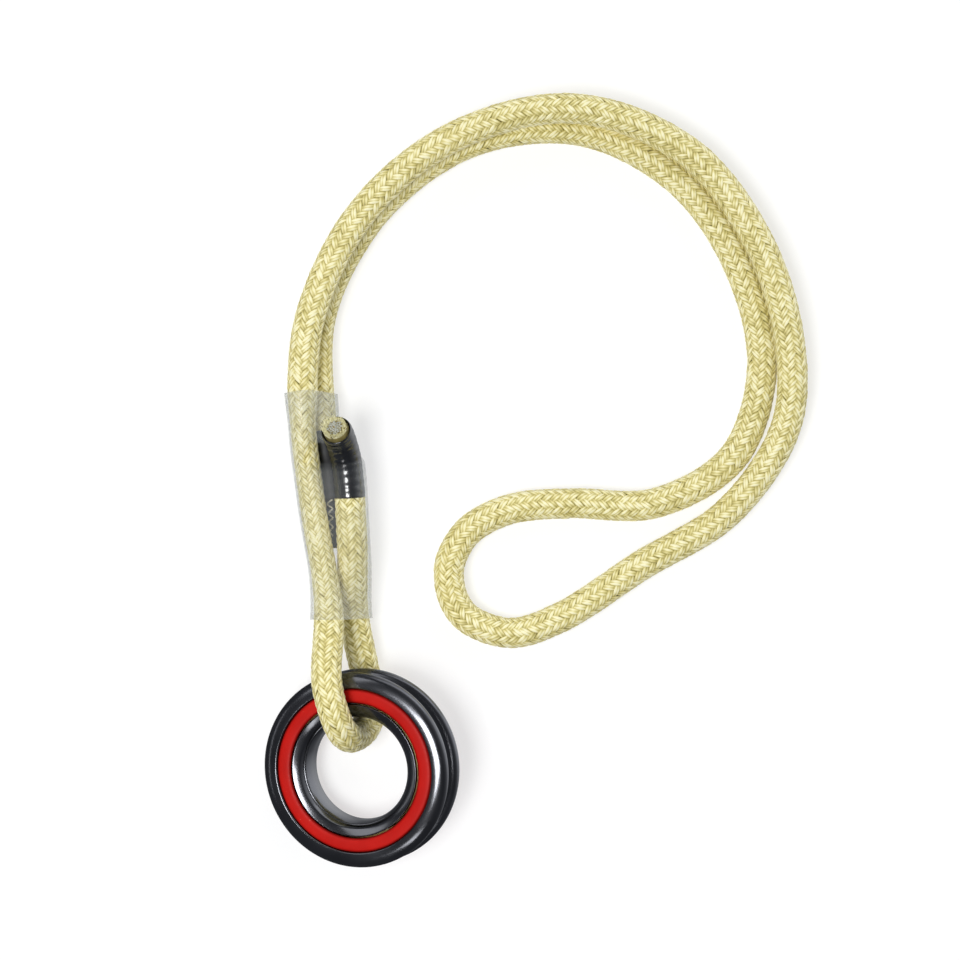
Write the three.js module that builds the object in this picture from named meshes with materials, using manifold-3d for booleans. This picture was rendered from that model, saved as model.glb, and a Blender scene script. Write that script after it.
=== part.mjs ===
// Rope ring pulley: a ball-bearing ring sheave held in the small eye of an endless rope sling.
// Millimetres, +Z up. The sling lies on the plane z = 0 and the origin is on that plane, under the
// middle of the pulley. The pulley rests on its edge and is tilted by the rope that passes under it.

import * as THREE from "three";
import { mergeVertices } from "three/addons/utils/BufferGeometryUtils.js";
import Module from "manifold-3d";

// Rope and sling
const ROPE_RADIUS = 4.75;
const ROPE_SIDES = 12;
const WRAPPED_ROPE_RADIUS = 4.1; // the rope is squeezed slimmer inside its end wraps
const WRAP_BORE_RADIUS = 4.45;
const UPPER_WRAP_START = 1.2; // lengths along the rope, from its upper cut end
const UPPER_WRAP_END = 26.4;
const LOWER_WRAP_LENGTH = 36.5;
const PIECE_GAP = 0.3;

// Clear sleeve round the splice
const SLEEVE_BOTTOM_Y = 45.5;
const SLEEVE_TOP_Y = 115;
const SLEEVE_WALL = 0.5;
const SLEEVE_BORE_REACH = 5.22; // from a strand's middle to the inside of the film
const SLEEVE_OPENS_Y = 92.5; // from here up the film leaves the upper rope end outside
const SLEEVE_LEFT_BEHIND_Y = 102;
const SLEEVE_SIDES = 18;
const SLEEVE_STATIONS = 15;

// Sewing thread in the splice
const STITCHES = 8;
const THREAD_RADIUS = 0.3;

// Pulley
const PULLEY_RADIUS = 30;
const PULLEY_HALF_WIDTH = 7.2;
const PULLEY_TILT = THREE.MathUtils.degToRad(20);
const PULLEY_TILT_HEADING = THREE.MathUtils.degToRad(13); // towards the raised side
const FLANGE_EDGE_Z = 4.9; // where the flange is widest
const ROPE_GROOVE_RADIUS = 25.5;
const SEAL_SEAT_RADIUS = 25.2;
const SEAL_SEAT_Z = 5.8;
const SEAL_INNER_RADIUS = 20.75;
const SEAL_THICKNESS = 0.8;
const BORE_RADIUS = 15.9;
const BORE_FLARE = 4.4;
const BORE_THROAT_HALF = 1;
const BORE_FLARE_DEPTH = 6.1;
const LIP_SPLIT_Z = 4.75; // the seam between the inner ring and each lip ring
const LIP_OUTER_RADIUS = 20.35;
const LIP_FACE_Z = 6.95;
const LATHE_STEPS = 36;

// Bearing
const BALL_COUNT = 24;
const BALL_RADIUS = 1.55;
const BALL_PITCH_RADIUS = 21;
const RACE_GROOVE_RADIUS = 1.75;
const RACE_LAND_OFFSET = 0.9; // from the pitch circle to each race's land
const RACE_STEPS = 3;
const CAGE_HALF_THICKNESS = 0.55;
const CAGE_HALF_WIDTH = 2.4;
const CAGE_POCKET_RADIUS = 1.85;

// The rope's middle line, from the cut end at the top of the splice, under the pulley, up through
// its bore and over it, round the outer strand, the far eye and the inner strand, back into the splice.
const ROPE_ROUTE = [
  [-7.8, 103.8, 26.3], [-6.4, 100.5, 20.6], [-5, 95.3, 16.9], [-4, 87.7, 15.2], [-3.4, 77.9, 14.6],
  [-2.9, 67.2, 14.3], [-2.8, 47.5, 7.4], [0.2, 31, 5.2], [2.6, 19, 5.3], [1.1, 12.2, 8.8],
  [-2.3, 9.5, 15.7], [-5.1, 10.8, 23.2], [-7.6, 16.2, 27.2], [-10.2, 26.5, 27.7], [-10, 48.5, 18.8],
  [-15.4, 83, 14.6], [-18.1, 109, 14.6], [-15.6, 138.5, 14.8], [0.5, 170.5, 14.6], [29, 193.5, 14.6],
  [65.5, 201.8, 14], [100.3, 188.8, 10.8], [122, 161.1, 9.8], [131.6, 129.5, 9.3], [130.3, 104, 6.9],
  [113, 78.3, 5.1], [85.5, 61.3, 4.86], [61, 45.6, 4.75], [45, 40.8, 4.75], [30.6, 47, 4.75],
  [26.6, 60.3, 4.75], [32.3, 71.9, 4.75], [45.1, 78.9, 4.75], [64, 80.8, 4.75], [90.3, 80.9, 4.75],
  [114.4, 95.1, 4.75], [123.3, 122.9, 4.75], [116.7, 152.5, 4.75], [98.5, 179.5, 4.75], [68.5, 195.5, 4.75],
  [34, 192.5, 4.75], [5, 172, 4.8], [-12.5, 140, 5.15], [-13, 109, 6], [-10, 86.5, 5.95], [-9, 67, 5.9],
].map((point) => new THREE.Vector3(...point));

const rope = new THREE.CatmullRomCurve3(ROPE_ROUTE, false, "centripetal");
rope.arcLengthDivisions = 2000;
const ROPE_LENGTH = rope.getLength();
const LOWER_WRAP_START = ROPE_LENGTH - LOWER_WRAP_LENGTH;

// Stretches of the rope, as lengths along it
const BELOW_SPLICE = 40; // inside the splice, below the upper wrap
const PULLEY_EYE_END = 140; // past the small eye that holds the pulley
const FLAT_STRETCH_START = 540; // from here the rope lies flat on the plane
const OVERLAP = 1;

const wasm = await Module();
wasm.setup();

function toSolid(geometry) {
  const bare = geometry.clone();
  bare.deleteAttribute("normal");
  bare.deleteAttribute("uv");
  const merged = mergeVertices(bare, 1e-5);
  const vertProperties = new Float32Array(merged.attributes.position.array);
  const triVerts = new Uint32Array(merged.index.array);
  return new wasm.Manifold(new wasm.Mesh({ numProp: 3, vertProperties, triVerts }));
}

function toGeometry(solid) {
  const mesh = solid.getMesh();
  const geometry = new THREE.BufferGeometry();
  geometry.setAttribute("position", new THREE.BufferAttribute(mesh.vertProperties, 3));
  geometry.setIndex(new THREE.BufferAttribute(mesh.triVerts, 1));
  geometry.computeVertexNormals();
  return geometry;
}

// Rope pieces

// The stretch of the rope's middle line between two lengths along it.
class RopeStretch extends THREE.Curve {
  constructor(from, to) {
    super();
    this.from = from / ROPE_LENGTH;
    this.to = to / ROPE_LENGTH;
  }

  getPoint(t) {
    return rope.getPointAt(THREE.MathUtils.lerp(this.from, this.to, t));
  }
}

// A polygon with flats that touch a circle of this radius, one of them facing straight down.
function ropeSection(radius) {
  const corner = radius / Math.cos(Math.PI / ROPE_SIDES);
  const points = [];
  for (let i = 0; i < ROPE_SIDES; i += 1) {
    const angle = ((i + 0.5) * 2 * Math.PI) / ROPE_SIDES;
    points.push(new THREE.Vector2(corner * Math.cos(angle), corner * Math.sin(angle)));
  }
  return points;
}

function tube(from, to, step, radius, boreRadius = 0) {
  const shape = new THREE.Shape(ropeSection(radius));
  if (boreRadius > 0) {
    shape.holes.push(new THREE.Path(ropeSection(boreRadius)));
  }
  const steps = Math.ceil((to - from) / step);
  return new THREE.ExtrudeGeometry(shape, { steps, extrudePath: new RopeStretch(from, to) });
}

function slingRope() {
  const afterUpperWrap = UPPER_WRAP_END + PIECE_GAP;
  const beforeLowerWrap = LOWER_WRAP_START - PIECE_GAP;
  const stretches = [
    tube(0, afterUpperWrap + OVERLAP, 5, WRAPPED_ROPE_RADIUS),
    tube(afterUpperWrap, BELOW_SPLICE, 7, ROPE_RADIUS),
    tube(BELOW_SPLICE - OVERLAP, PULLEY_EYE_END, 4.5, ROPE_RADIUS),
    tube(PULLEY_EYE_END - OVERLAP, FLAT_STRETCH_START, 11, ROPE_RADIUS),
    tube(FLAT_STRETCH_START - OVERLAP, beforeLowerWrap, 10, ROPE_RADIUS),
    tube(beforeLowerWrap - OVERLAP, ROPE_LENGTH, 12, WRAPPED_ROPE_RADIUS),
  ];
  return toGeometry(stretches.map(toSolid).reduce((whole, next) => whole.add(next)));
}

function upperEndWrap() {
  return tube(UPPER_WRAP_START, UPPER_WRAP_END, 5, ROPE_RADIUS, WRAP_BORE_RADIUS);
}

function lowerEndWrap() {
  return tube(LOWER_WRAP_START, ROPE_LENGTH - PIECE_GAP, 12, ROPE_RADIUS, WRAP_BORE_RADIUS);
}

// Thread that shows between the two upper strands of the splice, where they lie on the lower end.
function spliceStitching() {
  const points = [];
  for (let i = 0; i <= STITCHES; i += 1) {
    const along = i / STITCHES;
    const side = i % 2 === 0 ? 1 : -1;
    const middle = THREE.MathUtils.lerp(-9.95, -9.35, along);
    const swing = THREE.MathUtils.lerp(0.8, 0.4, along);
    points.push(new THREE.Vector3(middle + side * swing, 82 - 1.4 * i, 11.35));
  }
  const line = new THREE.CatmullRomCurve3(points, false, "centripetal");
  const section = new THREE.Shape();
  section.absarc(0, 0, THREAD_RADIUS, 0, 2 * Math.PI);
  return new THREE.ExtrudeGeometry(section, { steps: 4 * STITCHES, curveSegments: 3, extrudePath: line });
}

// Clear sleeve

// Where the stretch between two lengths along the rope crosses a height y, with its slope there.
function strandAt(y, from, to) {
  const rising = rope.getPointAt(to / ROPE_LENGTH).y > rope.getPointAt(from / ROPE_LENGTH).y;
  let low = from;
  let high = to;
  for (let i = 0; i < 40; i += 1) {
    const middle = (low + high) / 2;
    const below = rope.getPointAt(middle / ROPE_LENGTH).y < y;
    if (below === rising) {
      low = middle;
    } else {
      high = middle;
    }
  }
  const centre = rope.getPointAt(low / ROPE_LENGTH);
  const run = Math.abs(rope.getTangentAt(low / ROPE_LENGTH).y);
  return { centre, reach: SLEEVE_BORE_REACH / run };
}

// The three strands that the sleeve holds at a height y. The upper end leaves the sleeve on its way up.
function strandsAt(y) {
  const over = strandAt(y, 150, 250);
  const under = strandAt(Math.max(y, 67.5), 950, ROPE_LENGTH);
  const end = strandAt(Math.min(y, SLEEVE_OPENS_Y), 1, 70);
  const leaving = THREE.MathUtils.smoothstep(y, SLEEVE_OPENS_Y, SLEEVE_LEFT_BEHIND_Y);
  end.centre.lerp(under.centre, leaving);
  const bunch = [over, end];
  if (y > 60) {
    bunch.push(under);
  }
  return bunch;
}

// The outline that a film shrunk round the strands takes at a height y, as a ring of points.
function sleeveRing(y, thickness) {
  const bunch = strandsAt(y);
  const ring = [];
  for (let i = 0; i < SLEEVE_SIDES; i += 1) {
    const angle = (i * 2 * Math.PI) / SLEEVE_SIDES;
    const way = new THREE.Vector2(Math.cos(angle), Math.sin(angle));
    const outermost = bunch.reduce((best, strand) => {
      const reach = strand.reach + thickness;
      const far = strand.centre.x * way.x + strand.centre.z * way.y + reach;
      return best && best.far >= far ? best : { far, strand, reach };
    }, null);
    const { centre } = outermost.strand;
    ring.push([centre.x + outermost.reach * way.x, y, centre.z + outermost.reach * way.y]);
  }
  return ring;
}

function clearSleeve() {
  const rings = [];
  for (let i = 0; i <= SLEEVE_STATIONS; i += 1) {
    const y = THREE.MathUtils.lerp(SLEEVE_BOTTOM_Y, SLEEVE_TOP_Y, i / SLEEVE_STATIONS);
    rings.push(sleeveRing(y, SLEEVE_WALL));
  }
  for (let i = SLEEVE_STATIONS; i >= 0; i -= 1) {
    const y = THREE.MathUtils.lerp(SLEEVE_BOTTOM_Y, SLEEVE_TOP_Y, i / SLEEVE_STATIONS);
    rings.push(sleeveRing(y, 0));
  }
  const geometry = new THREE.BufferGeometry();
  geometry.setAttribute("position", new THREE.Float32BufferAttribute(rings.flat(2), 3));
  const index = [];
  rings.forEach((ring, r) => {
    const here = r * SLEEVE_SIDES;
    const next = ((r + 1) % rings.length) * SLEEVE_SIDES;
    for (let i = 0; i < SLEEVE_SIDES; i += 1) {
      const after = (i + 1) % SLEEVE_SIDES;
      index.push(here + i, next + i, next + after, here + i, next + after, here + after);
    }
  });
  geometry.setIndex(index);
  const wayOut = toSolid(tube(2, 24, 2, ROPE_RADIUS + PIECE_GAP));
  return toGeometry(toSolid(geometry).subtract(wayOut));
}

// Pulley pieces, turned about +Z with their middle at the origin

// Spins a closed outline of [radius, z] points, given counterclockwise, about the Z axis.
function turned(outline) {
  const points = [...outline, outline[0]].map(([radius, z]) => new THREE.Vector2(radius, z));
  return new THREE.LatheGeometry(points, LATHE_STEPS).rotateX(Math.PI / 2);
}

function bend(from, control, to, steps) {
  const curve = new THREE.QuadraticBezierCurve(
    new THREE.Vector2(...from),
    new THREE.Vector2(...control),
    new THREE.Vector2(...to),
  );
  return curve.getPoints(steps).map((point) => [point.x, point.y]);
}

// Half of a race's ball groove, from its deepest point to its land. side is 1 outside the balls, -1 inside.
function raceGroove(side) {
  const landAngle = Math.acos(RACE_LAND_OFFSET / RACE_GROOVE_RADIUS);
  const points = [];
  for (let i = 0; i <= RACE_STEPS; i += 1) {
    const angle = (landAngle * i) / RACE_STEPS;
    const radius = BALL_PITCH_RADIUS + side * RACE_GROOVE_RADIUS * Math.cos(angle);
    points.push([radius, RACE_GROOVE_RADIUS * Math.sin(angle)]);
  }
  return points;
}

// The upper half of the sheave's outline, from the bottom of the rope groove round to the ball race.
function sheaveOutline() {
  const groove = bend([ROPE_GROOVE_RADIUS, 0], [26, 2.3], [28.4, 3.1], 4);
  const tip = bend([28.4, 3.1], [PULLEY_RADIUS, 3.6], [PULLEY_RADIUS, FLANGE_EDGE_Z], 3).slice(1);
  const seatEdge = [SEAL_SEAT_RADIUS, PULLEY_HALF_WIDTH];
  const face = bend([PULLEY_RADIUS, FLANGE_EDGE_Z], [PULLEY_RADIUS, 6.4], seatEdge, 4).slice(1);
  const seat = [[SEAL_SEAT_RADIUS, SEAL_SEAT_Z], [BALL_PITCH_RADIUS + RACE_LAND_OFFSET, SEAL_SEAT_Z]];
  const race = raceGroove(1).reverse();
  return [...groove, ...tip, ...face, ...seat, ...race];
}

function sheave() {
  const upper = sheaveOutline();
  const lower = upper.map(([radius, z]) => [radius, -z]).reverse();
  return turned([...upper, ...lower.slice(1, -1)]);
}

// The height of the tilted pulley's middle when its lowest edge rests on the plane.
function pulleyHeight() {
  const rise = Math.sin(PULLEY_TILT);
  const lift = Math.cos(PULLEY_TILT);
  return Math.max(...sheaveOutline().map(([radius, z]) => radius * rise + z * lift));
}

function seal(side) {
  const inner = side * (SEAL_SEAT_Z + PIECE_GAP);
  const outer = side * (SEAL_SEAT_Z + PIECE_GAP + SEAL_THICKNESS);
  const bottom = Math.min(inner, outer);
  const top = Math.max(inner, outer);
  const rim = SEAL_SEAT_RADIUS - PIECE_GAP;
  return turned([[SEAL_INNER_RADIUS, bottom], [rim, bottom], [rim, top], [SEAL_INNER_RADIUS, top]]);
}

// The flared bore's radius at a distance z from the pulley's middle.
function boreRadiusAt(z) {
  const along = Math.max(0, Math.abs(z) - BORE_THROAT_HALF) / BORE_FLARE_DEPTH;
  return BORE_RADIUS + BORE_FLARE * (1 - Math.sqrt(1 - Math.min(1, along * along)));
}

function innerRing() {
  const end = LIP_SPLIT_Z - PIECE_GAP / 2;
  const race = raceGroove(-1);
  const bore = [end, 3.6, 2.4, BORE_THROAT_HALF].map((z) => [boreRadiusAt(z), z]);
  const upper = [...race, [BALL_PITCH_RADIUS - RACE_LAND_OFFSET, end], ...bore];
  const lower = upper.map(([radius, z]) => [radius, -z]).reverse();
  return turned([...upper, ...lower.slice(0, -1)]);
}

function lipRing(side) {
  const start = LIP_SPLIT_Z + PIECE_GAP / 2;
  const bore = [6.8, 6.5, 6.1, 5.5, start].map((z) => [boreRadiusAt(z), z]);
  const outline = [[LIP_OUTER_RADIUS, start], [LIP_OUTER_RADIUS, 6.7], [20, LIP_FACE_Z], ...bore];
  if (side > 0) {
    return turned(outline);
  }
  return turned(outline.map(([radius, z]) => [radius, -z]).reverse());
}

function ballPlace(i) {
  const angle = (2 * Math.PI * i) / BALL_COUNT;
  return [BALL_PITCH_RADIUS * Math.cos(angle), BALL_PITCH_RADIUS * Math.sin(angle), 0];
}

function bearingCage() {
  const inner = BALL_PITCH_RADIUS - CAGE_HALF_THICKNESS;
  const outer = BALL_PITCH_RADIUS + CAGE_HALF_THICKNESS;
  const width = CAGE_HALF_WIDTH;
  let band = toSolid(turned([[inner, -width], [outer, -width], [outer, width], [inner, width]]));
  for (let i = 0; i < BALL_COUNT; i += 1) {
    const pocket = new THREE.SphereGeometry(CAGE_POCKET_RADIUS, 8, 4);
    pocket.translate(...ballPlace(i));
    band = band.subtract(toSolid(pocket));
  }
  return toGeometry(band);
}

// Assembly

const steelRing = { color: 0x1f2124, roughness: 0.15, metalness: 1 };
const redRubber = { color: 0xc51e19, roughness: 0.45, metalness: 0 };
const ballSteel = { color: 0xb8bcc0, roughness: 0.15, metalness: 1 };
const cageBrass = { color: 0xa8884a, roughness: 0.4, metalness: 1 };
const ropeYellow = { color: 0xe1d58c, roughness: 0.85, metalness: 0 };
const blackWrap = { color: 0x0d0e10, roughness: 0.25, metalness: 0 };
const clearFilm = { color: 0xe6e8ea, roughness: 0.2, metalness: 0, transparent: true, opacity: 0.35 };
const threadWhite = { color: 0xe8e6dc, roughness: 0.8, metalness: 0 };

function piece(name, geometry, look) {
  const mesh = new THREE.Mesh(geometry, new THREE.MeshStandardMaterial(look));
  mesh.name = name;
  return mesh;
}

const pulley = new THREE.Group();
pulley.rotation.set(0, -PULLEY_TILT, PULLEY_TILT_HEADING, "ZYX");
pulley.position.set(0, 0, pulleyHeight());
pulley.add(piece("sheave", sheave(), steelRing));
pulley.add(piece("front_seal", seal(1), redRubber));
pulley.add(piece("rear_seal", seal(-1), redRubber));
pulley.add(piece("inner_ring", innerRing(), steelRing));
pulley.add(piece("front_lip_ring", lipRing(1), steelRing));
pulley.add(piece("rear_lip_ring", lipRing(-1), steelRing));
pulley.add(piece("bearing_cage", bearingCage(), cageBrass));
for (let i = 0; i < BALL_COUNT; i += 1) {
  const number = String(i + 1).padStart(2, "0");
  const ball = piece(`ball_${number}`, new THREE.SphereGeometry(BALL_RADIUS, 8, 6), ballSteel);
  ball.position.set(...ballPlace(i));
  pulley.add(ball);
}

const sling = new THREE.Group();
sling.add(piece("sling_rope", slingRope(), ropeYellow));
sling.add(piece("upper_end_wrap", upperEndWrap(), blackWrap));
sling.add(piece("lower_end_wrap", lowerEndWrap(), blackWrap));
sling.add(piece("splice_stitching", spliceStitching(), threadWhite));
sling.add(piece("clear_sleeve", clearSleeve(), clearFilm));

const ropePulley = new THREE.Group();
ropePulley.add(pulley, sling);
export default ropePulley;
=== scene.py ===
"""Rope ring pulley held in the eye of a braided sling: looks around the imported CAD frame."""
import math

import bpy
import numpy as np
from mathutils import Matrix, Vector


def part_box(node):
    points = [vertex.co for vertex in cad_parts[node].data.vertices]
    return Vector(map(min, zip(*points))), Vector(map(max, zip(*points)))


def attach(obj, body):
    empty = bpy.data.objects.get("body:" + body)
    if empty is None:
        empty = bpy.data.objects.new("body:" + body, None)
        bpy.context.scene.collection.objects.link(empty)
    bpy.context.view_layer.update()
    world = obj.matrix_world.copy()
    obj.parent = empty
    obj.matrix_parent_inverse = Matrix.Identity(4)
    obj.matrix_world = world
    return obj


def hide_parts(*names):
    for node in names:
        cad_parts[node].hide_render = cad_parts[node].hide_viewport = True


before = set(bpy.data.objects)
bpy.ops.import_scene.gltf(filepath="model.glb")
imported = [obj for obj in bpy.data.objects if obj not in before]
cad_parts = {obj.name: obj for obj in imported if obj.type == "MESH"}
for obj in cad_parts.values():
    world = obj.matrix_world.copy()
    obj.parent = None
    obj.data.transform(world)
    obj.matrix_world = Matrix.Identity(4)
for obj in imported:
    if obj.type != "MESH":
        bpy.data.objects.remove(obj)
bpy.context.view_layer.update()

MM = 0.001

# ---------------------------------------------------------------- camera

CAMERA_FOOT = (0.0362, 0.0880)   # the point of the plane that it looks straight down at
CAMERA_HEIGHT = 1.2
VIEW_WIDTH = 0.2976              # of the plane, across the picture

camera_data = bpy.data.cameras.new("camera")
camera_data.sensor_width = 36
camera_data.lens = 36 * CAMERA_HEIGHT / VIEW_WIDTH
camera_data.clip_start = 0.05
camera_data.clip_end = 20
camera = bpy.data.objects.new("camera", camera_data)
camera.location = (*CAMERA_FOOT, CAMERA_HEIGHT)
bpy.context.scene.collection.objects.link(camera)
bpy.context.scene.camera = camera

# ---------------------------------------------------------------- mesh helpers


def add_object(name, verts, faces, smooth=True):
    mesh = bpy.data.meshes.new(name)
    verts = np.asarray(verts, float)
    faces = np.asarray(faces, int)
    corners = faces.shape[1]
    mesh.vertices.add(len(verts))
    mesh.vertices.foreach_set("co", verts.ravel())
    mesh.loops.add(faces.size)
    mesh.loops.foreach_set("vertex_index", faces.ravel())
    mesh.polygons.add(len(faces))
    mesh.polygons.foreach_set("loop_start", np.arange(0, faces.size, corners))
    mesh.polygons.foreach_set("use_smooth", np.full(len(faces), smooth))
    mesh.update(calc_edges=True)
    mesh.validate()
    obj = bpy.data.objects.new(name, mesh)
    bpy.context.scene.collection.objects.link(obj)
    return obj


def set_attribute(obj, name, values):
    layer = obj.data.attributes.new(name, "FLOAT", "POINT")
    layer.data.foreach_set("value", np.asarray(values, float))


def grid_faces(rows, columns, closed_rows=False, closed_columns=False):
    r = np.arange(rows if closed_rows else rows - 1)
    c = np.arange(columns if closed_columns else columns - 1)
    r, c = (a.ravel() for a in np.meshgrid(r, c, indexing="ij"))
    r2, c2 = (r + 1) % rows, (c + 1) % columns
    return np.stack([r * columns + c, r * columns + c2, r2 * columns + c2, r2 * columns + c], 1)


def turns(count):
    """Evenly spaced angles, once round."""
    return np.arange(count) * 2 * math.pi / count


def noise(x, seed, spread=1.0):
    """Smooth, seeded 1-D noise from about -1 to 1."""
    rng = np.random.default_rng(seed)
    total = np.zeros_like(x, float)
    for octave, weight in ((1, 0.6), (2.1, 0.3), (4.3, 0.15)):
        total += weight * np.sin(x * octave / spread + rng.uniform(0, 6.28))
    return total


# ---------------------------------------------------------------- the rope's line

ROPE_ROUTE = [  # millimetres, from the cut end at the top of the splice
    (-7.8, 103.8, 26.3), (-6.4, 100.5, 20.6), (-5, 95.3, 16.9), (-4, 87.7, 15.2), (-3.4, 77.9, 14.6),
    (-2.9, 67.2, 14.3), (-2.8, 47.5, 7.4), (0.2, 31, 5.2), (2.6, 19, 5.3), (1.1, 12.2, 8.8),
    (-2.3, 9.5, 15.7), (-5.1, 10.8, 23.2), (-7.6, 16.2, 27.2), (-10.2, 26.5, 27.7), (-10, 48.5, 18.8),
    (-15.4, 83, 14.6), (-18.1, 109, 14.6), (-15.6, 138.5, 14.8), (0.5, 170.5, 14.6), (29, 193.5, 14.6),
    (65.5, 201.8, 14), (100.3, 188.8, 10.8), (122, 161.1, 9.8), (131.6, 129.5, 9.3), (130.3, 104, 6.9),
    (113, 78.3, 5.1), (85.5, 61.3, 4.86), (61, 45.6, 4.75), (45, 40.8, 4.75), (30.6, 47, 4.75),
    (26.6, 60.3, 4.75), (32.3, 71.9, 4.75), (45.1, 78.9, 4.75), (64, 80.8, 4.75), (90.3, 80.9, 4.75),
    (114.4, 95.1, 4.75), (123.3, 122.9, 4.75), (116.7, 152.5, 4.75), (98.5, 179.5, 4.75), (68.5, 195.5, 4.75),
    (34, 192.5, 4.75), (5, 172, 4.8), (-12.5, 140, 5.15), (-13, 109, 6), (-10, 86.5, 5.95),
    (-9, 67, 5.9),
]
ROPE_RADIUS = 4.75
UPPER_WRAP = (1.2, 26.4)         # lengths along the rope
LOWER_WRAP_LENGTH = 36.5
GRIP = 0.15                      # how much slimmer the shrunk sleeve makes the long strand
GRIP_COMES_ON, GRIP_GOES_OFF = (152, 172), (214, 226)


def catmull_rom(points, per_span=60):
    """Centripetal Catmull-Rom curve through the points."""
    p = np.vstack([2 * points[0] - points[1], points, 2 * points[-1] - points[-2]])
    t = np.linspace(0, 1, per_span, endpoint=False)[:, None]
    line = []
    for p0, p1, p2, p3 in zip(p[:-3], p[1:-2], p[2:-1], p[3:]):
        d0, d1, d2 = (np.linalg.norm(b - a) ** 0.5 for a, b in ((p0, p1), (p1, p2), (p2, p3)))
        m1 = ((p1 - p0) / d0 - (p2 - p0) / (d0 + d1) + (p2 - p1) / d1) * d1
        m2 = ((p2 - p1) / d1 - (p3 - p1) / (d1 + d2) + (p3 - p2) / d2) * d1
        line.append((2 * p1 - 2 * p2 + m1 + m2) * t**3 + (3 * p2 - 3 * p1 - 2 * m1 - m2) * t**2 + m1 * t + p1)
    return np.vstack(line + [points[-1:]])


def length_along(line):
    return np.r_[0, np.cumsum(np.linalg.norm(np.diff(line, axis=0), axis=1))]


class Line:
    """A curve with a frame carried along it without twist, read by length in millimetres."""

    def __init__(self, points, step=0.5):
        raw = length_along(points)
        self.length = raw[-1]
        self.s = np.linspace(0, self.length, int(self.length / step) + 1)
        self.at = np.stack([np.interp(self.s, raw, points[:, k]) for k in range(3)], 1)
        tangent = np.gradient(self.at, axis=0)
        self.tangent = tangent / np.linalg.norm(tangent, axis=1)[:, None]
        normal = np.cross(self.tangent[0], [0, 1, 0.3])
        normals = []
        for t in self.tangent:
            normal = normal - t * normal.dot(t)
            normal = normal / np.linalg.norm(normal)
            normals.append(normal)
        self.normal = np.array(normals)
        self.side = np.cross(self.tangent, self.normal)

    def read(self, table, s):
        s = np.clip(s, 0, self.length)
        return np.stack([np.interp(s, self.s, table[:, k]) for k in range(3)], -1)

    def place(self, s, angle, radius):
        """Points at these lengths, angles round the line and distances from it."""
        radius = radius * squeeze(s)
        out = self.read(self.normal, s) * np.cos(angle)[..., None]
        out = out + self.read(self.side, s) * np.sin(angle)[..., None]
        past = (s - np.clip(s, 0, self.length))[..., None] * self.read(self.tangent, s)
        return self.read(self.at, s) + past + out * radius[..., None]

    def angle_of(self, s, direction):
        """The angle round the line, at length s, that points most in this direction."""
        return math.atan2(self.read(self.side, s) @ direction, self.read(self.normal, s) @ direction)


rope = Line(catmull_rom(np.array(ROPE_ROUTE, float)))
LOWER_WRAP = (rope.length - LOWER_WRAP_LENGTH, rope.length)


def smooth(x, a, b):
    t = np.clip((x - a) / (b - a), 0, 1)
    return t * t * (3 - 2 * t)


def squeeze(s):
    """How much slimmer the long strand is where the shrunk sleeve grips it."""
    return 1 - GRIP * smooth(s, *GRIP_COMES_ON) * (1 - smooth(s, *GRIP_GOES_OFF))


# ---------------------------------------------------------------- materials


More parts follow.
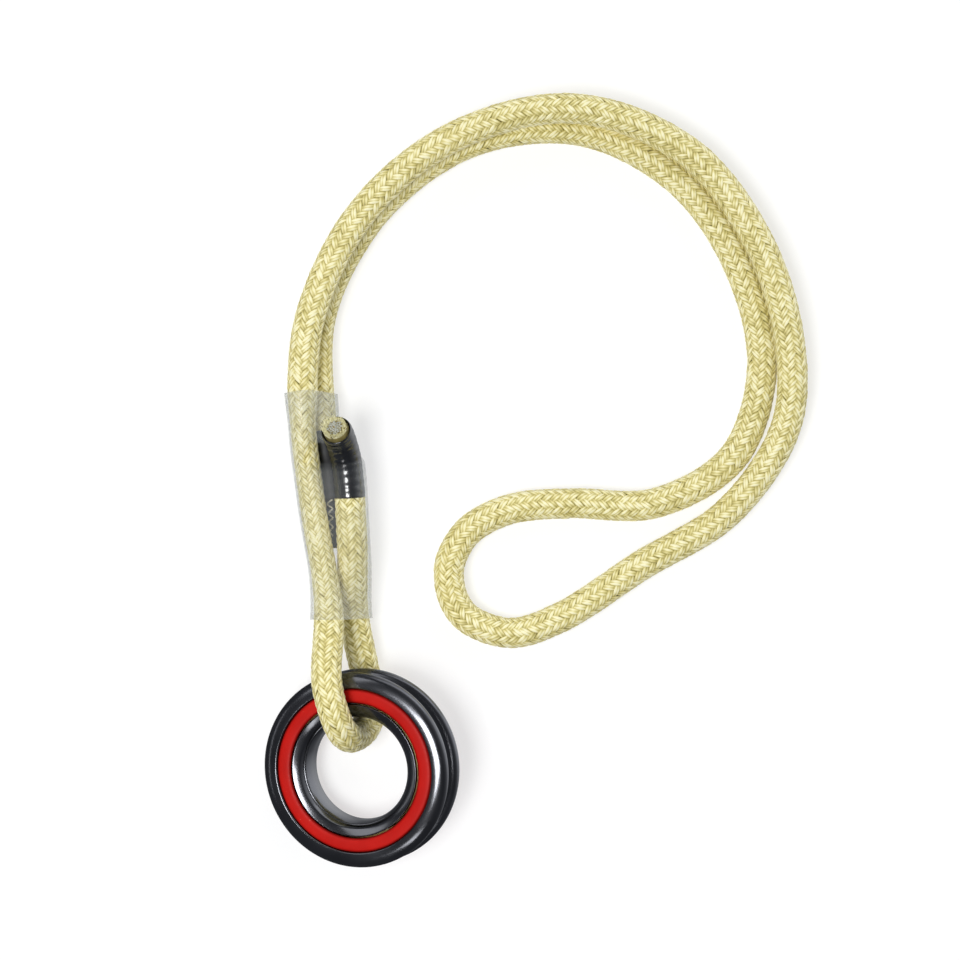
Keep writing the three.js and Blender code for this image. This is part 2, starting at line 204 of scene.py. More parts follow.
class Nodes:
    """A few short calls for building a material's nodes."""

    def __init__(self, name):
        self.material = bpy.data.materials.new(name)
        self.material.use_nodes = True
        self.tree = self.material.node_tree
        self.bsdf = self.tree.nodes["Principled BSDF"]

    def new(self, kind, **settings):
        node = self.tree.nodes.new(kind)
        for key, value in settings.items():
            setattr(node, key, value)
        return node

    def link(self, a, b):
        self.tree.links.new(a, b)

    def put(self, node, socket, value):
        if isinstance(value, bpy.types.NodeSocket):
            self.link(value, node.inputs[socket])
        else:
            node.inputs[socket].default_value = value

    def attribute(self, name):
        return self.new("ShaderNodeAttribute", attribute_name=name).outputs["Fac"]

    def place(self):
        return self.new("ShaderNodeTexCoord").outputs["Object"]

    def noise(self, scale, detail=3, vector=None, roughness=0.5):
        node = self.new("ShaderNodeTexNoise")
        self.put(node, "Scale", scale)
        self.put(node, "Detail", detail)
        self.put(node, "Roughness", roughness)
        self.link(vector or self.place(), node.inputs["Vector"])
        return node.outputs["Fac"]

    def math(self, how, a, b=0.0, clamp=False):
        node = self.new("ShaderNodeMath", operation=how, use_clamp=clamp)
        self.put(node, 0, a)
        self.put(node, 1, b)
        return node.outputs[0]

    def scaled(self, value, middle, factor, clamp=False):
        """(value - middle) * factor, with the difference kept from 0 to 1 where clamp is set."""
        return self.math("MULTIPLY", self.math("SUBTRACT", value, middle, clamp=clamp), factor)

    def total(self, first, *others):
        for other in others:
            first = self.math("ADD", first, other)
        return first

    def ramp(self, value, stops):
        node = self.new("ShaderNodeValToRGB")
        ramp = node.color_ramp
        while len(ramp.elements) < len(stops):
            ramp.elements.new(0.5)
        for element, (at, colour) in zip(ramp.elements, stops):
            element.position = at
            element.color = (*colour, 1) if len(colour) == 3 else colour
        self.link(value, node.inputs["Fac"])
        return node.outputs["Color"]

    def mix(self, factor, a, b):
        node = self.new("ShaderNodeMix", data_type="RGBA")
        self.put(node, "Factor", factor)
        # sockets 6 and 7 take the two colours, and output 2 is the mixed one
        for socket, value in ((6, a), (7, b)):
            self.put(node, socket, value if isinstance(value, bpy.types.NodeSocket) else (*value, 1))
        return node.outputs[2]

    def vector(self, x, y, z):
        node = self.new("ShaderNodeCombineXYZ")
        for socket, value in (("X", x), ("Y", y), ("Z", z)):
            self.put(node, socket, value)
        return node.outputs[0]

    def bump(self, height, strength, distance):
        node = self.new("ShaderNodeBump")
        self.put(node, "Strength", strength)
        self.put(node, "Distance", distance)
        self.link(height, node.inputs["Height"])
        self.link(node.outputs[0], self.bsdf.inputs["Normal"])

    def set(self, **values):
        for key, value in values.items():
            self.put(self.bsdf, key.replace("_", " "), value)
        return self.material


def yarn_material():
    """Filament yarn: a painted highlight on the crown of each float and painted shade where it dives and
    towards its edges, with fine filaments along it.
    """
    n = Nodes("aramid_yarn")
    across, along, tone = n.attribute("across"), n.attribute("along"), n.attribute("tone")
    out = n.math("ABSOLUTE", across)
    away = n.math("MULTIPLY", n.math("ABSOLUTE", n.math("SUBTRACT", out, 0.5)), 2.0)
    dive = n.math("ABSOLUTE", along)
    end = n.math("FRACT", n.math("MULTIPLY", n.math("ADD", tone, n.math("GREATER_THAN", across, 0.0)), 37.7))
    fibre = n.vector(n.math("MULTIPLY", across, 5.5), n.math("MULTIPLY", along, 0.55),
                     n.math("MULTIPLY", tone, 91.0))
    filaments = n.noise(1.0, 2, fibre)
    # painted shade: each float darkens where it dives under the crossing yarns, in the groove between its two
    # yarns and most at its outer edges; filaments, tone and end add the yarns' own tone
    painted_shade_at_dive = n.math("MULTIPLY", n.math("POWER", dive, 1.35), 0.60)
    edge_shade_strength = n.math("ADD", 0.36, n.math("MULTIPLY", out, 0.22))
    painted_shade_at_edge = n.math("MULTIPLY", n.math("POWER", away, 1.5), edge_shade_strength)
    shade_and_tone = n.total(painted_shade_at_dive, painted_shade_at_edge, n.scaled(filaments, 0.5, 0.40), n.scaled(tone, 0.5, 0.30),
                    n.scaled(end, 0.5, 0.34))
    # the ramp runs from a painted highlight, pale on the crowns, to painted shade, deep in the dives and gaps
    colour = n.ramp(n.math("SUBTRACT", shade_and_tone, 0.09, clamp=True), [
        (0.0, (0.98, 0.93, 0.60)), (0.16, (0.86, 0.78, 0.37)), (0.40, (0.64, 0.555, 0.195)),
        (0.72, (0.40, 0.335, 0.09)), (1.0, (0.19, 0.15, 0.032)),
    ])
    patches = n.noise(55.0, 2)
    colour = n.mix(n.scaled(patches, 0.5, 0.5, clamp=True), colour, (0.80, 0.66, 0.22))
    n.bump(filaments, 0.35, 0.00012)
    return n.set(Base_Color=colour, Roughness=0.48, Specular_IOR_Level=0.45, Sheen_Weight=0.15)


def mottled(name, grain, stops, bump=None, **settings):
    """A material of a few close tones; bump is its scale, detail, strength and depth."""
    n = Nodes(name)
    colour = n.ramp(n.noise(grain), stops)
    if bump:
        scale, detail, strength, depth = bump
        n.bump(n.noise(scale, detail), strength, depth)
    return n.set(Base_Color=colour, **settings)


def core_material():
    """The rope's core under the braid, coloured dark as painted shade in the gaps between the floats."""
    return mottled("rope_inside_painted_shade", 700.0, [(0.3, (0.20, 0.16, 0.045)), (0.7, (0.32, 0.26, 0.08))],
                   Roughness=0.9)


def dark_metal(name, base=0.115, roughness=0.17):
    """Polished, hard anodised metal, with faint turning marks and fine handling scratches."""
    n = Nodes(name)
    place = n.place()
    haze = n.noise(60.0, 4, place)
    specks = n.noise(900.0, 2, place)
    darker, lighter, speck = ([base * part for part in parts] for parts in (
        (0.86, 0.88, 0.95), (1.1, 1.13, 1.24), (1.8, 1.85, 1.95)))
    level = n.ramp(haze, [(0.3, darker), (0.7, lighter)])
    colour = n.mix(n.ramp(specks, [(0.70, (0, 0, 0)), (0.78, (1, 1, 1))]), level, speck)
    rough = n.ramp(haze, [(0.25, (roughness * 0.8,) * 3), (0.75, (roughness * 1.35,) * 3)])
    across_marks = n.math("MULTIPLY", n.attribute("profile"), 5200.0)
    along_marks = n.math("MULTIPLY", n.attribute("turn"), 1.2)
    marks = n.noise(1.0, 3, n.vector(across_marks, along_marks, 0.0))
    n.bump(n.math("ADD", n.math("MULTIPLY", marks, 0.6), n.math("MULTIPLY", specks, 0.4)), 0.06, 0.00005)
    return n.set(Base_Color=colour, Roughness=rough, Metallic=1.0)


SEAL_MIDDLE, SEAL_HALF_WIDTH = 22.92, 2.13


def red_material():
    """Moulded red seal, satin, with a few light specks, and painted shade at its two edges where it meets the
    metal.
    """
    n = Nodes("red_seal_rubber")
    fine = n.noise(1500.0, 3)
    wide = n.noise(95.0, 3)
    specks = n.ramp(n.noise(1300.0, 1), [(0.735, (0, 0, 0)), (0.80, (0.5, 0.5, 0.5))])
    near_specks = n.math("MULTIPLY", specks, n.ramp(wide, [(0.52, (0, 0, 0)), (0.62, (1, 1, 1))]))
    base = n.ramp(wide, [(0.3, (0.46, 0.0065, 0.004)), (0.7, (0.56, 0.010, 0.006))])
    colour = n.mix(near_specks, base, (0.85, 0.25, 0.16))
    # painted shade: the seal darkens towards both edges, where it sits recessed against the metal
    from_middle = n.math("ABSOLUTE", n.math("SUBTRACT", n.attribute("radius"), SEAL_MIDDLE))
    to_edge = n.math("DIVIDE", from_middle, SEAL_HALF_WIDTH)
    edge_shade = n.ramp(to_edge, [(0.62, (0, 0, 0)), (1.0, (0.8, 0.8, 0.8))])
    colour = n.mix(edge_shade, colour, (0.10, 0.002, 0.0015))
    n.bump(fine, 0.18, 0.00008)
    rough = n.ramp(fine, [(0.3, (0.34,) * 3), (0.7, (0.5,) * 3)])
    return n.set(Base_Color=colour, Roughness=rough, Specular_IOR_Level=0.1)


def wrap_material(name, roughness, specular):
    """Black heat-shrink, faintly dusty."""
    n = Nodes(name)
    dust = n.noise(420.0, 4)
    colour = n.ramp(dust, [(0.45, (0.004, 0.0045, 0.006)), (0.75, (0.012, 0.014, 0.018))])
    rough = n.ramp(n.noise(180.0, 3), [(0.3, (roughness,) * 3), (0.7, (roughness + 0.12,) * 3)])
    n.bump(n.noise(500.0, 2), 0.05, 0.0001)
    return n.set(Base_Color=colour, Roughness=rough, Specular_IOR_Level=specular)


def film_material():
    """Clear shrunk film: nearly clear face on, milky edge on, where it spans a gap and in cloudy patches."""
    n = Nodes("clear_heat_shrink_film")
    edge = n.new("ShaderNodeLayerWeight")
    edge.inputs["Blend"].default_value = 0.30
    cloud = n.noise(70.0, 4)
    clear = n.math("MULTIPLY", n.math("POWER", edge.outputs["Facing"], 1.3), 0.46)
    cloudy = n.scaled(cloud, 0.42, 0.06, clamp=True)
    milky = n.math("MULTIPLY", n.attribute("milk"), 0.11)
    alpha = n.math("ADD", n.math("ADD", clear, cloudy), n.math("ADD", milky, 0.004), clamp=True)
    n.bump(n.noise(210.0, 2), 0.05, 0.0002)
    n.material.surface_render_method = "DITHERED"
    return n.set(Base_Color=(0.62, 0.66, 0.66, 1), Roughness=0.13, Specular_IOR_Level=0.5, Alpha=alpha)


def thread_material():
    return mottled("sewing_thread_fibre", 2200.0, [(0.3, (0.52, 0.50, 0.40)), (0.7, (0.84, 0.82, 0.72))],
                   (5200.0, 2, 0.3, 0.00006), Roughness=0.75, Sheen_Weight=0.2)


def strand_end_material():
    """Cut core strands, grey-white."""
    tones = [(0.25, (0.30, 0.31, 0.27)), (0.5, (0.50, 0.51, 0.45)), (0.75, (0.70, 0.70, 0.63))]
    return mottled("core_strand_fibre", 1500.0, tones, (4200.0, 3, 0.5, 0.00012), Roughness=0.85)


def fray_material():
    tones = [(0.25, (0.58, 0.54, 0.27)), (0.5, (0.80, 0.76, 0.47)), (0.75, (0.93, 0.91, 0.70))]
    return mottled("frayed_sheath_fibre", 1700.0, tones, (4200.0, 3, 0.4, 0.0001), Roughness=0.75)


def ball_material():
    return mottled("bearing_ball_steel", 400.0, [(0.3, (0.60, 0.61, 0.62)), (0.7, (0.74, 0.75, 0.76))],
                   Metallic=1.0, Roughness=0.08)


def cage_material():
    return mottled("machined_brass", 260.0, [(0.3, (0.50, 0.36, 0.13)), (0.7, (0.64, 0.49, 0.21))],
                   (2600.0, 2, 0.15, 0.00005), Metallic=1.0, Roughness=0.34)


YARN = yarn_material()
INSIDE = core_material()
METAL = dark_metal("dark_polished_sheave")
RING_METAL = dark_metal("dark_polished_ring", 0.12)
RED = red_material()
GLOSSY_WRAP = wrap_material("glossy_black_heat_shrink", 0.15, 1.0)
DULL_WRAP = wrap_material("dull_black_heat_shrink", 0.5, 0.5)
FILM = film_material()
THREAD = thread_material()
CORE_END = strand_end_material()
FRAY = fray_material()


def finish_piece(obj, body, slot, *materials):
    for material in materials:
        obj.data.materials.append(material)
    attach(obj, body)
    return obj


# ---------------------------------------------------------------- braid

YARNS_EACH_WAY = 12
PITCH = 2.65                     # of the floats down each column
COLUMN = math.pi / YARNS_EACH_WAY  # the angle from one crossing to the next round the rope
YARN_HALF_WIDTH = 0.97
FLOAT_REACH = 1.33               # of a float either way, in crossings
UNDER_WRAP_RADIUS = 4.4          # the most that a float may have where a wrap covers it


def braid_centres(seed):
    """Every float's angle, length along the rope, lean and yarn, then its jitter, and each yarn's tone."""
    rng = np.random.default_rng(seed)
    rows = np.arange(-1, int(rope.length / PITCH) + 2)
    lists = []
    for lean, offset, start in ((1, 0.25, 0.5), (-1, 0.75, 2.5)):
        k, row = (a.ravel() for a in np.meshgrid(4 * np.arange(6) + start, rows, indexing="ij"))
        s = (row + offset) * PITCH
        yarn = np.round(k - lean * 2 * s / PITCH).astype(int) // 2 % YARNS_EACH_WAY
        yarn = yarn + (0 if lean > 0 else YARNS_EACH_WAY)
        lists.append(np.stack([k * COLUMN, s, np.full(len(k), lean), yarn], 1))
    all_floats = np.vstack(lists)
    s = all_floats[:, 1]
    shown = (s > UPPER_WRAP[1] - 1.5) & (s < LOWER_WRAP[0] + 1.5)
    all_floats = all_floats[shown]
    jitter = rng.normal(size=(len(all_floats), 5))
    return all_floats, jitter, rng.normal(size=2 * YARNS_EACH_WAY)


def braid_bump(angle, s):
    """From -1 to 1: how a film shrunk over the braid rises and falls."""
    lean_right = 0.5 + 0.5 * np.cos(YARNS_EACH_WAY / 2 * (angle - 0.5 * COLUMN))
    twist = 2 * math.pi / PITCH
    right = np.cos(YARNS_EACH_WAY * (angle - 0.5 * COLUMN) - twist * (s - 0.25 * PITCH))
    left = np.cos(YARNS_EACH_WAY * (angle - 2.5 * COLUMN) + twist * (s - 0.75 * PITCH))
    return lean_right * right + (1 - lean_right) * left


def make_braid():
    """The floats' vertices and faces, with each vertex's place across and along its float, and its tone."""
    centres, jitter, yarn_tone = braid_centres(11)
    along = np.linspace(-1, 1, 7)
    across = np.array([-1, -0.78, -0.46, -0.12, 0.12, 0.46, 0.78, 1.0])
    a, v = (x.ravel() for x in np.meshgrid(along, across, indexing="ij"))
    q = a * FLOAT_REACH
    wave = np.cos(q * math.pi / 2)
    lift = np.sign(wave) * np.abs(wave) ** 0.75
    width = YARN_HALF_WIDTH * (1 - 0.16 * np.abs(a) ** 3)
    pair = 1 - ((np.abs(v) - 0.5) / 0.52) ** 2  # two yarns lie side by side in each float
    crown = 0.45 * np.sqrt(np.maximum(0, 1 - (0.97 * v) ** 2)) + 0.55 * np.sqrt(np.maximum(0, pair))
    theta, s, lean, yarn = centres.T
    mean_radius = ROPE_RADIUS * 0.97
    run_arc, run_s = mean_radius * COLUMN, PITCH / 2
    run = math.hypot(run_arc, run_s)
    w = v[None] * width[None] * (1 + 0.05 * jitter[:, :1])
    angle = theta[:, None] + q[None] * COLUMN - lean[:, None] * w * (run_s / run) / mean_radius
    place = s[:, None] + lean[:, None] * q[None] * PITCH / 2 + w * run_arc / run
    place = place + 0.06 * jitter[:, 1:2]
    angle = angle + 0.012 * jitter[:, 2:3]
    radius = 4.03 + 0.27 * lift[None] + 0.47 * crown[None] + 0.035 * jitter[:, 3:4]
    wrapped = (place < UPPER_WRAP[1] - 0.05) | (place > LOWER_WRAP[0] + 0.05)
    radius = np.where(wrapped, np.minimum(radius, UNDER_WRAP_RADIUS), radius)
    verts = rope.place(place.ravel(), angle.ravel(), radius.ravel()) * MM
    quads = grid_faces(len(along), len(across))[:, ::-1]
    per = len(a)
    count = len(theta)
    faces = np.vstack([quads + i * per for i in range(count)])
    tone = 0.5 + 0.13 * jitter[:, 4] + 0.10 * yarn_tone[yarn.astype(int)]
    return verts, faces, np.tile(v, count), np.tile(a, count), np.repeat(np.clip(tone, 0, 1), per)


def tube_grid(s, sides, radius_at):
    """A grid of points round the rope's line, in millimetres, with rows at the lengths s."""
    ss, aa = np.meshgrid(s, turns(sides), indexing="ij")
    return rope.place(ss.ravel(), aa.ravel(), radius_at(ss, aa).ravel())


def make_rope():
    verts, faces, across, along, tone = make_braid()
    s = np.linspace(0.0, rope.length, int(rope.length / 2.0))
    sides = 20

    def radius_at(ss, aa):
        wrapped = (ss < UPPER_WRAP[1] + 0.2) | (ss > LOWER_WRAP[0] - 0.2)
        return np.where(wrapped, 3.95, 4.0)

    core = tube_grid(s, sides, radius_at) * MM
    core_faces = grid_faces(len(s), sides, closed_columns=True)
    corners = np.arange(0, sides, sides // 4)
    caps = np.array([corners, corners + sides * (len(s) - 1)])
    base = len(verts)
    all_faces = np.vstack([faces, core_faces + base, caps + base])
    obj = add_object("braided_rope", np.vstack([verts, core]), all_faces)
    extra = np.zeros(len(core))
    set_attribute(obj, "across", np.r_[across, extra])
    set_attribute(obj, "along", np.r_[along, extra])
    set_attribute(obj, "tone", np.r_[tone, extra + 0.5])
    finish_piece(obj, "sling", "aramid_rope", YARN, INSIDE)
    index = np.zeros(len(obj.data.polygons), int)
    index[len(faces):] = 1
    obj.data.polygons.foreach_set("material_index", index)
    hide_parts("sling_rope")
    return obj


# ---------------------------------------------------------------- end wraps


def shell(name, s0, s1, outside, inside, sides=72, rows=90):
    """A closed sleeve round the rope's line: outside from s0 to s1, then back along the inside."""
    s = np.linspace(s0, s1, rows)
    back = s[::-1][::6]

    def rolled(ss, aa):
        edge = np.minimum(ss - s0, s1 - ss)
        return outside(ss, aa) - 0.22 * np.exp(-edge / 0.25)

    outer = tube_grid(s, sides, rolled)
    inner = tube_grid(back, sides, lambda ss, aa: np.full(ss.shape, inside))
    faces = grid_faces(rows + len(back), sides, closed_rows=True, closed_columns=True)
    return add_object(name, np.vstack([outer, inner]) * MM, faces[:, ::-1])


WRAP_BORE = 4.3


def make_wraps():
    def ridged(ss, aa):
        ridge = np.cos(2 * math.pi * ss / PITCH + 0.8 * np.sin(2 * aa) + 0.5 * noise(ss, 3, 2.5))
        slack = 0.04 * noise(ss + 2.0 * np.sin(aa), 5, 1.6)
        return 4.74 + 0.05 * ridge + slack

    def smoother(ss, aa):
        return 4.72 + 0.03 * noise(ss + 1.5 * np.sin(aa), 6, 2.5)

    upper = shell("upper_wrap_film", *UPPER_WRAP, ridged, WRAP_BORE)
    finish_piece(upper, "sling", "black_heat_shrink", GLOSSY_WRAP)
    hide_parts("upper_end_wrap")
    lower = shell("lower_wrap_film", LOWER_WRAP[0], LOWER_WRAP[1] - 0.3, smoother, WRAP_BORE)
    finish_piece(lower, "sling", "black_heat_shrink", DULL_WRAP)
    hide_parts("lower_end_wrap")
    return [upper, lower]


# ---------------------------------------------------------------- cut end


def small_tubes(lines, radii, sides=5):
    """Tapered tubes along several short lines, as one list of vertices and faces."""
    verts, faces = [], []
    base = 0
    turn = turns(sides)[:, None]
    for line, radius in zip(lines, radii):
        tangent = np.gradient(line, axis=0)
        tangent /= np.linalg.norm(tangent, axis=1)[:, None] + 1e-12
        helper = np.array([0.31, 0.62, 0.72])
        a = np.cross(tangent, helper)
        a /= np.linalg.norm(a, axis=1)[:, None]
        b = np.cross(tangent, a)
        out = a[:, None] * np.cos(turn) + b[:, None] * np.sin(turn)
        ring = line[:, None] + radius[:, None, None] * out
        verts.append(ring.reshape(-1, 3))
        faces.append(grid_faces(len(line), sides, closed_columns=True)[:, ::-1] + base)
        base += len(line) * sides
    return np.vstack(verts), np.vstack(faces)


CORE_STUBS, SHEATH_STUBS, SHEATH_LAYERS = 34, 140, 3
CORE_REACH = 2.35
GOLDEN_ANGLE = 2.39996


def make_cut_end():
    rng = np.random.default_rng(4)
    out = -rope.tangent[0]
    n, b = rope.normal[0], rope.side[0]
    start = rope.at[0]

    def at(r, angle, height):
        return start + n * (r * math.cos(angle)) + b * (r * math.sin(angle)) + out * height

    # cut core strands: a domed bundle of short stubs
    lines, radii = [], []
    for i in range(CORE_STUBS):
        r = CORE_REACH * math.sqrt((i + 0.5) / CORE_STUBS)
        angle = i * GOLDEN_ANGLE
        top = 0.35 + 0.22 * rng.normal() * 0.6 + 0.3 * (1 - r / 2.4)
        lean = 0.16 * rng.normal(size=2)
        heights = np.linspace(-0.9, top, 5)
        lines.append(np.array([at(r, angle, h) + (n * lean[0] + b * lean[1]) * h for h in heights]))
        radii.append(np.array([0.40, 0.41, 0.41, 0.33, 0.05]) * (1 + 0.1 * rng.normal()))
    verts, faces = small_tubes(lines, radii, 7)
    core = add_object("cut_core_strands", verts * MM, faces)
    finish_piece(core, "sling", "aramid_rope", CORE_END)

    # sheath, cut and pressed into a ragged rim
    up_left = rope.angle_of(0.0, np.array([-0.75, 0.65, 0.2]))
    lines, radii = [], []
    for i in range(SHEATH_STUBS * SHEATH_LAYERS):
        angle = i * 2 * math.pi / SHEATH_STUBS + 0.05 * rng.normal()
        layer = i // SHEATH_STUBS
        r = 2.65 + 0.42 * layer + 0.10 * rng.normal()
        near = math.cos(angle - up_left)
        height = 0.35 + 0.28 * rng.normal() + 0.45 * max(0, near)
        spread = 0.10 + 0.75 * max(0, near) ** 2 * rng.random() + 0.16 * rng.normal()
        swirl = 0.10 * rng.normal()
        heights = np.linspace(-1.0, max(0.05, height), 5)
        lines.append(np.array([at(r + spread * max(0, h + 0.2) * 1.2, angle + swirl * max(0, h + 0.5), h)
                               for h in heights]))
        radii.append(np.array([0.19, 0.20, 0.19, 0.14, 0.04]) * (1 + 0.12 * rng.normal()))
    verts, faces = small_tubes(lines, radii, 5)
    rim = add_object("frayed_sheath_end", verts * MM, faces)
    finish_piece(rim, "sling", "aramid_rope", FRAY)
    return [core, rim]


# ---------------------------------------------------------------- stitching


STITCHES, STITCH_STEP = 8, 1.4
THREAD_LAY = 1.1                 # the length in which the two plies turn once round each other


def make_stitching():
    """Two-ply thread, zigzagging between the strands where the stitches come up."""
    points = []
    for i in range(STITCHES + 1):
        along = i / STITCHES
        side = 1 if i % 2 == 0 else -1
        middle = -9.95 + 0.6 * along
        swing = 0.8 - 0.4 * along
        points.append((middle + side * swing, 82 - STITCH_STEP * i, 11.35))
    line = Line(catmull_rom(np.array(points, float), 20), 0.08)
    lines, radii = [], []
    for ply in range(2):
        angle = line.s * 2 * math.pi / THREAD_LAY + ply * math.pi
        offset = 0.13 * (line.normal * np.cos(angle)[:, None] + line.side * np.sin(angle)[:, None])
        lines.append(line.at + offset)
        radii.append(np.full(len(line.s), 0.16))
    verts, faces = small_tubes(lines, radii, 7)
    obj = add_object("splice_thread", verts * MM, faces)
    finish_piece(obj, "sling", "sewing_thread", THREAD)
    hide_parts("splice_stitching")
    return obj


# ---------------------------------------------------------------- clear sleeve

SLEEVE_Y = (45.5, 115.0)
SLEEVE_REACH = 5.12
SLEEVE_INSIDE, SLEEVE_WALL = 0.12, 0.42   # the film's inner and outer faces, beyond that reach
SLEEVE_OPENS_Y, SLEEVE_LEFT_BEHIND_Y = 92.5, 102.0
WINDOW_RADIUS = 5.12
LONG_STRAND, LOWER_END_FROM = (150, 250), 950   # lengths along the rope


def crossing(y, s0, s1):
    """Where the rope between two lengths crosses a height y: centre, reach, length."""
    pick = (rope.s >= s0) & (rope.s <= s1)
    s, at = rope.s[pick], rope.at[pick]
    order = np.argsort(at[:, 1])
    here = float(np.interp(y, at[order, 1], s[order]))
    centre = rope.read(rope.at, here)
    run = abs(rope.read(rope.tangent, here)[1])
    grip = squeeze(here)
    return centre, (SLEEVE_REACH * grip - 1.2 * (1 - grip)) / run, here


def distance_to(line, verts):
    """How far each vertex is from the nearest point of a line."""
    return np.array([np.linalg.norm(line - v, axis=1).min() for v in verts])


def sleeve_ring(y, thickness, sides, wavy):
    """One station of the film, wrapped round the strands that it holds together at this height."""
    over = crossing(y, *LONG_STRAND)
    under = crossing(max(y, 67.5), LOWER_END_FROM, rope.length)
    end = crossing(min(y, SLEEVE_OPENS_Y), 1, 70)
    leaving = smooth(y, SLEEVE_OPENS_Y, SLEEVE_LEFT_BEHIND_Y)
    end = (end[0] * (1 - leaving) + under[0] * leaving, end[1], end[2])
    bunch = [over, end] + ([under] if y > 60 else [])
    turn = turns(sides)
    way = np.stack([np.cos(turn), np.sin(turn)], 1)
    far = np.array([c[0] * way[:, 0] + c[2] * way[:, 1] + r + thickness for c, r, _ in bunch])
    best = far.argmax(0)
    ring = np.zeros((sides, 3))
    for k, (c, r, here) in enumerate(bunch):
        mine = best == k
        reach = r + thickness
        if wavy:
            radial = np.stack([way[:, 0], np.zeros(sides), way[:, 1]], 1)
            normal, side = rope.read(rope.normal, here), rope.read(rope.side, here)
            angle = np.arctan2(radial @ side, radial @ normal)
            reach = reach + 0.035 * braid_bump(angle, np.full(sides, here))
        round_it = np.stack([c[0] + reach * way[:, 0], np.full(sides, y), c[2] + reach * way[:, 1]], 1)
        ring[mine] = round_it[mine]
    return ring


def make_sleeve():
    sides, stations = 120, 190
    ys = np.linspace(*SLEEVE_Y, stations)
    outer = [sleeve_ring(y, SLEEVE_WALL, sides, True) for y in ys]
    inner = [sleeve_ring(y, SLEEVE_INSIDE, sides, False) for y in ys[::-1][::3]]
    rings = np.array(outer + inner)
    # the film creases lightly on top, and its far end is cut a little askew
    wave = 0.05 * noise(rings[:, :, 0] * 0.5 + rings[:, :, 1] * 0.35, 8, 1.0)
    rings[:, :, 2] += np.where(rings[:, :, 2] > 9, wave, 0)
    far_end = smooth(rings[:, :, 1], 106, 115)
    rings[:, :, 1] += far_end * (0.45 * np.sin(rings[:, :, 0] * 0.35 + 1.0))
    verts = rings.reshape(-1, 3)
    faces = grid_faces(len(rings), sides, closed_rows=True, closed_columns=True)
    # milky where it spans the gap between strands, away from the upper wrap, and towards its far end
    s = rope.s
    in_sleeve = (s < 60) | (s > LOWER_END_FROM) | (s > LONG_STRAND[0]) & (s < LONG_STRAND[1])
    gap = distance_to(rope.at[in_sleeve][::2], verts)
    from_wrap = distance_to(rope.at[s < UPPER_WRAP[1] + 1], verts)
    milk = (0.55 * smooth(from_wrap, 5.6, 6.6) + 0.4 * smooth(gap, 5.9, 7.0)
            + 0.6 * smooth(verts[:, 1], 96, 112))
    # the window that the upper end leaves through
    near = distance_to(rope.at[(s > 2) & (s < 17)], verts)
    cut = ((near < WINDOW_RADIUS) & (verts[:, 1] > 80) & (verts[:, 2] > 12))[faces].any(1)
    obj = add_object("clear_splice_sleeve", verts * MM, faces[~cut])
    set_attribute(obj, "milk", milk)
    finish_piece(obj, "sling", "clear_heat_shrink", FILM)
    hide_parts("clear_sleeve")
    return obj


# ---------------------------------------------------------------- pulley

TILT, HEADING = math.radians(20), math.radians(13)
low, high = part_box("sheave")
PULLEY_CENTRE = np.array([(a + b) / 2 for a, b in zip(low, high)]) / MM
FACE_X = np.array([math.cos(TILT) * math.cos(HEADING), math.cos(TILT) * math.sin(HEADING), math.sin(TILT)])
FACE_Y = np.array([-math.sin(HEADING), math.cos(HEADING), 0.0])
AXIS = np.cross(FACE_X, FACE_Y)


def lathe(name, outline, segments=192):
    """Spins a closed outline of (radius, z), in millimetres, about the pulley's axis."""
    outline = np.array(outline, float)
    turn = turns(segments)
    out = np.cos(turn)[:, None] * FACE_X + np.sin(turn)[:, None] * FACE_Y
    r, z = outline[:, 0][:, None, None], outline[:, 1][:, None, None]
    verts = PULLEY_CENTRE + r * out + z * AXIS
    faces = grid_faces(len(outline), segments, closed_rows=True, closed_columns=True)
    obj = add_object(name, verts.reshape(-1, 3) * MM, faces[:, ::-1])
    along = length_along(np.c_[outline, np.zeros(len(outline))]) * MM
    set_attribute(obj, "profile", np.repeat(along, segments))
    set_attribute(obj, "turn", np.tile(np.cos(turn), len(outline)))
    set_attribute(obj, "radius", np.repeat(outline[:, 0], segments))
    return obj


def bend(a, c, b, steps):
    """Points from a to b along a curve that c pulls, as a quadratic Bezier."""
    t = np.linspace(0, 1, steps + 1)[:, None]
    a, c, b = (np.array(p, float) for p in (a, c, b))
    return [tuple(p) for p in (1 - t) ** 2 * a + 2 * t * (1 - t) * c + t * t * b]


def whole(upper):
    """The closed outline of a ring from its front half, which starts and ends on the middle plane."""
    return upper + [(r, -z) for r, z in reversed(upper[1:-1])]


def on_side(outline, side):
    """A front outline for side 1, or mirrored for side -1, in the order that turns its faces outward."""
    outline = [(r, side * z) for r, z in outline]
    return outline[::-1] if side > 0 else outline


def make_sheave():
    groove = bend((25.5, 0), (26, 2.3), (28.4, 3.1), 12)
    tip = bend((28.4, 3.1), (29.98, 3.55), (29.98, 4.9), 12)[1:]
    face = [(25.6 + 4.38 * math.cos(a), 4.9 + 2.24 * math.sin(a)) for a in np.radians(np.linspace(4, 89, 26))]
    edge = [(25.5, 7.14), (25.22, 6.9), (25.2, 6.8), (25.2, 5.9), (25.15, 5.85), (21.95, 5.85), (21.9, 5.75)]
    race = [(21.9, 1.6), (22.3, 1.2), (22.6, 0.6), (22.75, 0.0)]
    obj = lathe("sheave_body", whole(groove + tip + face + edge + race), 240)
    finish_piece(obj, "sheave", "dark_polished_metal", METAL)
    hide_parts("sheave")


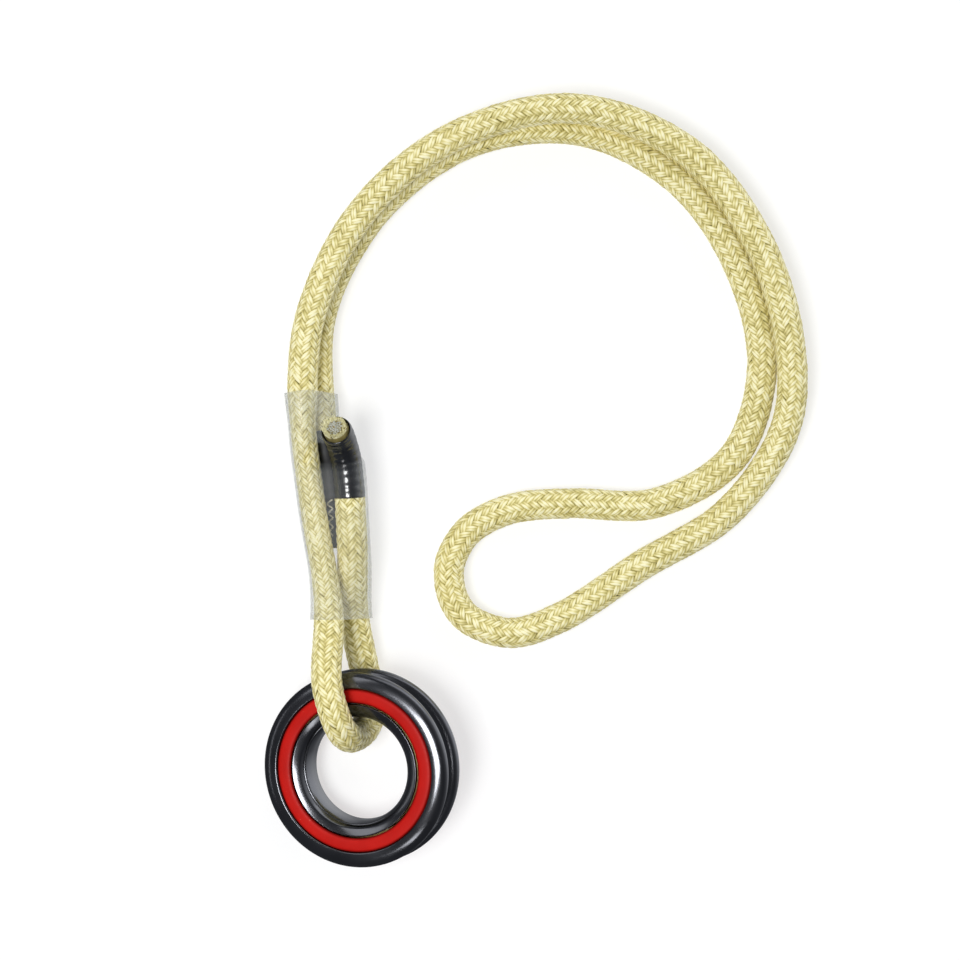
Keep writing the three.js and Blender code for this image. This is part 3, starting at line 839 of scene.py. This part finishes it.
def make_seals():
    for name, node, side in (("front_seal_ring", "front_seal", 1), ("rear_seal_ring", "rear_seal", -1)):
        dome = [(SEAL_MIDDLE + SEAL_HALF_WIDTH * u, 6.30 + 0.56 * math.sqrt(1 - abs(u) ** 3))
                for u in np.linspace(-1, 1, 17)]
        obj = lathe(name, on_side([(20.75, 6.1), *dome, (25.05, 6.1)], side), 200)
        finish_piece(obj, "sheave", "red_seal", RED)
        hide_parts(node)


def bore_radius(z):
    """The bore is straight for 1 mm either side of the middle, then flares along a quarter ellipse."""
    along = max(0.0, abs(z) - 1.0) / 6.1
    return 15.9 + 4.4 * (1 - math.sqrt(1 - min(1.0, along * along)))


def make_inner_ring():
    bore = [(bore_radius(z), z) for z in np.linspace(0, 4.62, 22)]
    corner = [(bore_radius(4.69) + 0.05, 4.69), (19.9, 4.69), (20.05, 4.6), (20.05, 1.7)]
    race = [(19.7, 1.2), (19.4, 0.6), (19.25, 0.0)]
    obj = lathe("inner_ring_body", whole(bore + corner + race)[::-1], 200)
    finish_piece(obj, "inner_ring", "dark_polished_metal", RING_METAL)
    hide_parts("inner_ring")
    for name, node, side in (("front_lip", "front_lip_ring", 1), ("rear_lip", "rear_lip_ring", -1)):
        bore = [(bore_radius(z), z) for z in np.linspace(4.93, 6.1, 12)]
        crest = bend(bore[-1], (18.6, 6.5), (20.0, 6.9), 12)[1:]
        shoulder = bend((20.0, 6.9), (20.3, 6.96), (20.33, 6.4), 6)[1:]
        outline = [(bore_radius(4.83) + 0.06, 4.83), *bore, *crest, *shoulder, (20.33, 4.95), (20.25, 4.83)]
        obj = lathe(name, on_side(outline, side), 200)
        finish_piece(obj, "inner_ring", "dark_polished_metal", RING_METAL)
        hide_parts(node)


# ---------------------------------------------------------------- build

rope_piece = make_rope()
on_rope = make_wraps() + make_cut_end() + [make_stitching(), make_sleeve()]
make_sheave()
make_seals()
make_inner_ring()

BALLS, CAGE = ball_material(), cage_material()
for name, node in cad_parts.items():
    if name.startswith("ball_") or name == "bearing_cage":
        node.data.materials.clear()
        node.data.materials.append(CAGE if name == "bearing_cage" else BALLS)

# ---------------------------------------------------------------- floor and light

FLOOR_HALF_WIDTH, FLOOR_Z = 3, -0.0004
floor_corners = [(x * FLOOR_HALF_WIDTH, y * FLOOR_HALF_WIDTH, FLOOR_Z)
                 for x, y in ((-1, -1), (1, -1), (1, 1), (-1, 1))]
floor = add_object("floor", floor_corners, [[0, 1, 2, 3]], False)
floor_material = Nodes("pale_floor").set(
    Base_Color=(0.42, 0.42, 0.42, 1), Roughness=0.9, Specular_IOR_Level=0.1,
    Emission_Color=(1, 1, 1, 1), Emission_Strength=0.62)
floor.data.materials.append(floor_material)
floor.visible_glossy = False


def softbox(name, at, to, size, power):
    """A white area light at one place, turned to another."""
    data = bpy.data.lights.new(name, "AREA")
    data.shape = "RECTANGLE"
    data.size, data.size_y = size
    data.energy = power
    light = bpy.data.objects.new(name, data)
    light.location = at
    light.rotation_euler = (Vector(to) - Vector(at)).to_track_quat("-Z", "Y").to_euler()
    bpy.context.scene.collection.objects.link(light)


softbox("overhead_softbox", (-0.46, -0.17, 1.7), (0.036, 0.07, 0), (0.62, 0.62), 22)
softbox("upper_left_softbox", (-1.25, 0.80, 1.15), (0.0, 0.0, 0), (1.0, 0.7), 3.6)
softbox("back_softbox", (0.35, 1.7, 0.95), (0.036, 0.07, 0), (1.8, 0.7), 4)
softbox("front_softbox", (-0.50, -1.05, 1.35), (0.0, 0.0, 0), (0.45, 0.22), 1.6)
softbox("left_strip", (-1.70, -0.10, 0.50), (0.0, 0.0, 0), (0.9, 0.12), 0.5)

BRIGHT_SIDE = (0.75, 0.60, -0.25)


def studio_world():
    """A grey room that brightens smoothly towards one side."""
    world = bpy.data.worlds.new("studio")
    bpy.context.scene.world = world
    world.use_nodes = True
    nodes, links = world.node_tree.nodes, world.node_tree.links
    toward = nodes.new("ShaderNodeVectorMath")
    toward.operation = "DOT_PRODUCT"
    toward.inputs[1].default_value = BRIGHT_SIDE
    sky = nodes.new("ShaderNodeValToRGB")
    elements = sky.color_ramp.elements
    elements[0].position = 0.0
    elements[0].color = (0.13, 0.135, 0.15, 1)
    elements[1].position = 0.95
    elements[1].color = (1.9, 1.93, 1.98, 1)
    elements.new(0.45).color = (0.36, 0.37, 0.39, 1)
    links.new(nodes.new("ShaderNodeTexCoord").outputs["Generated"], toward.inputs[0])
    links.new(toward.outputs["Value"], sky.inputs["Fac"])
    backdrop = nodes["Background"]
    links.new(sky.outputs["Color"], backdrop.inputs["Color"])
    backdrop.inputs["Strength"].default_value = 0.9


studio_world()
bpy.context.scene.view_settings.view_transform = "Standard"
bpy.context.scene.view_settings.look = "None"
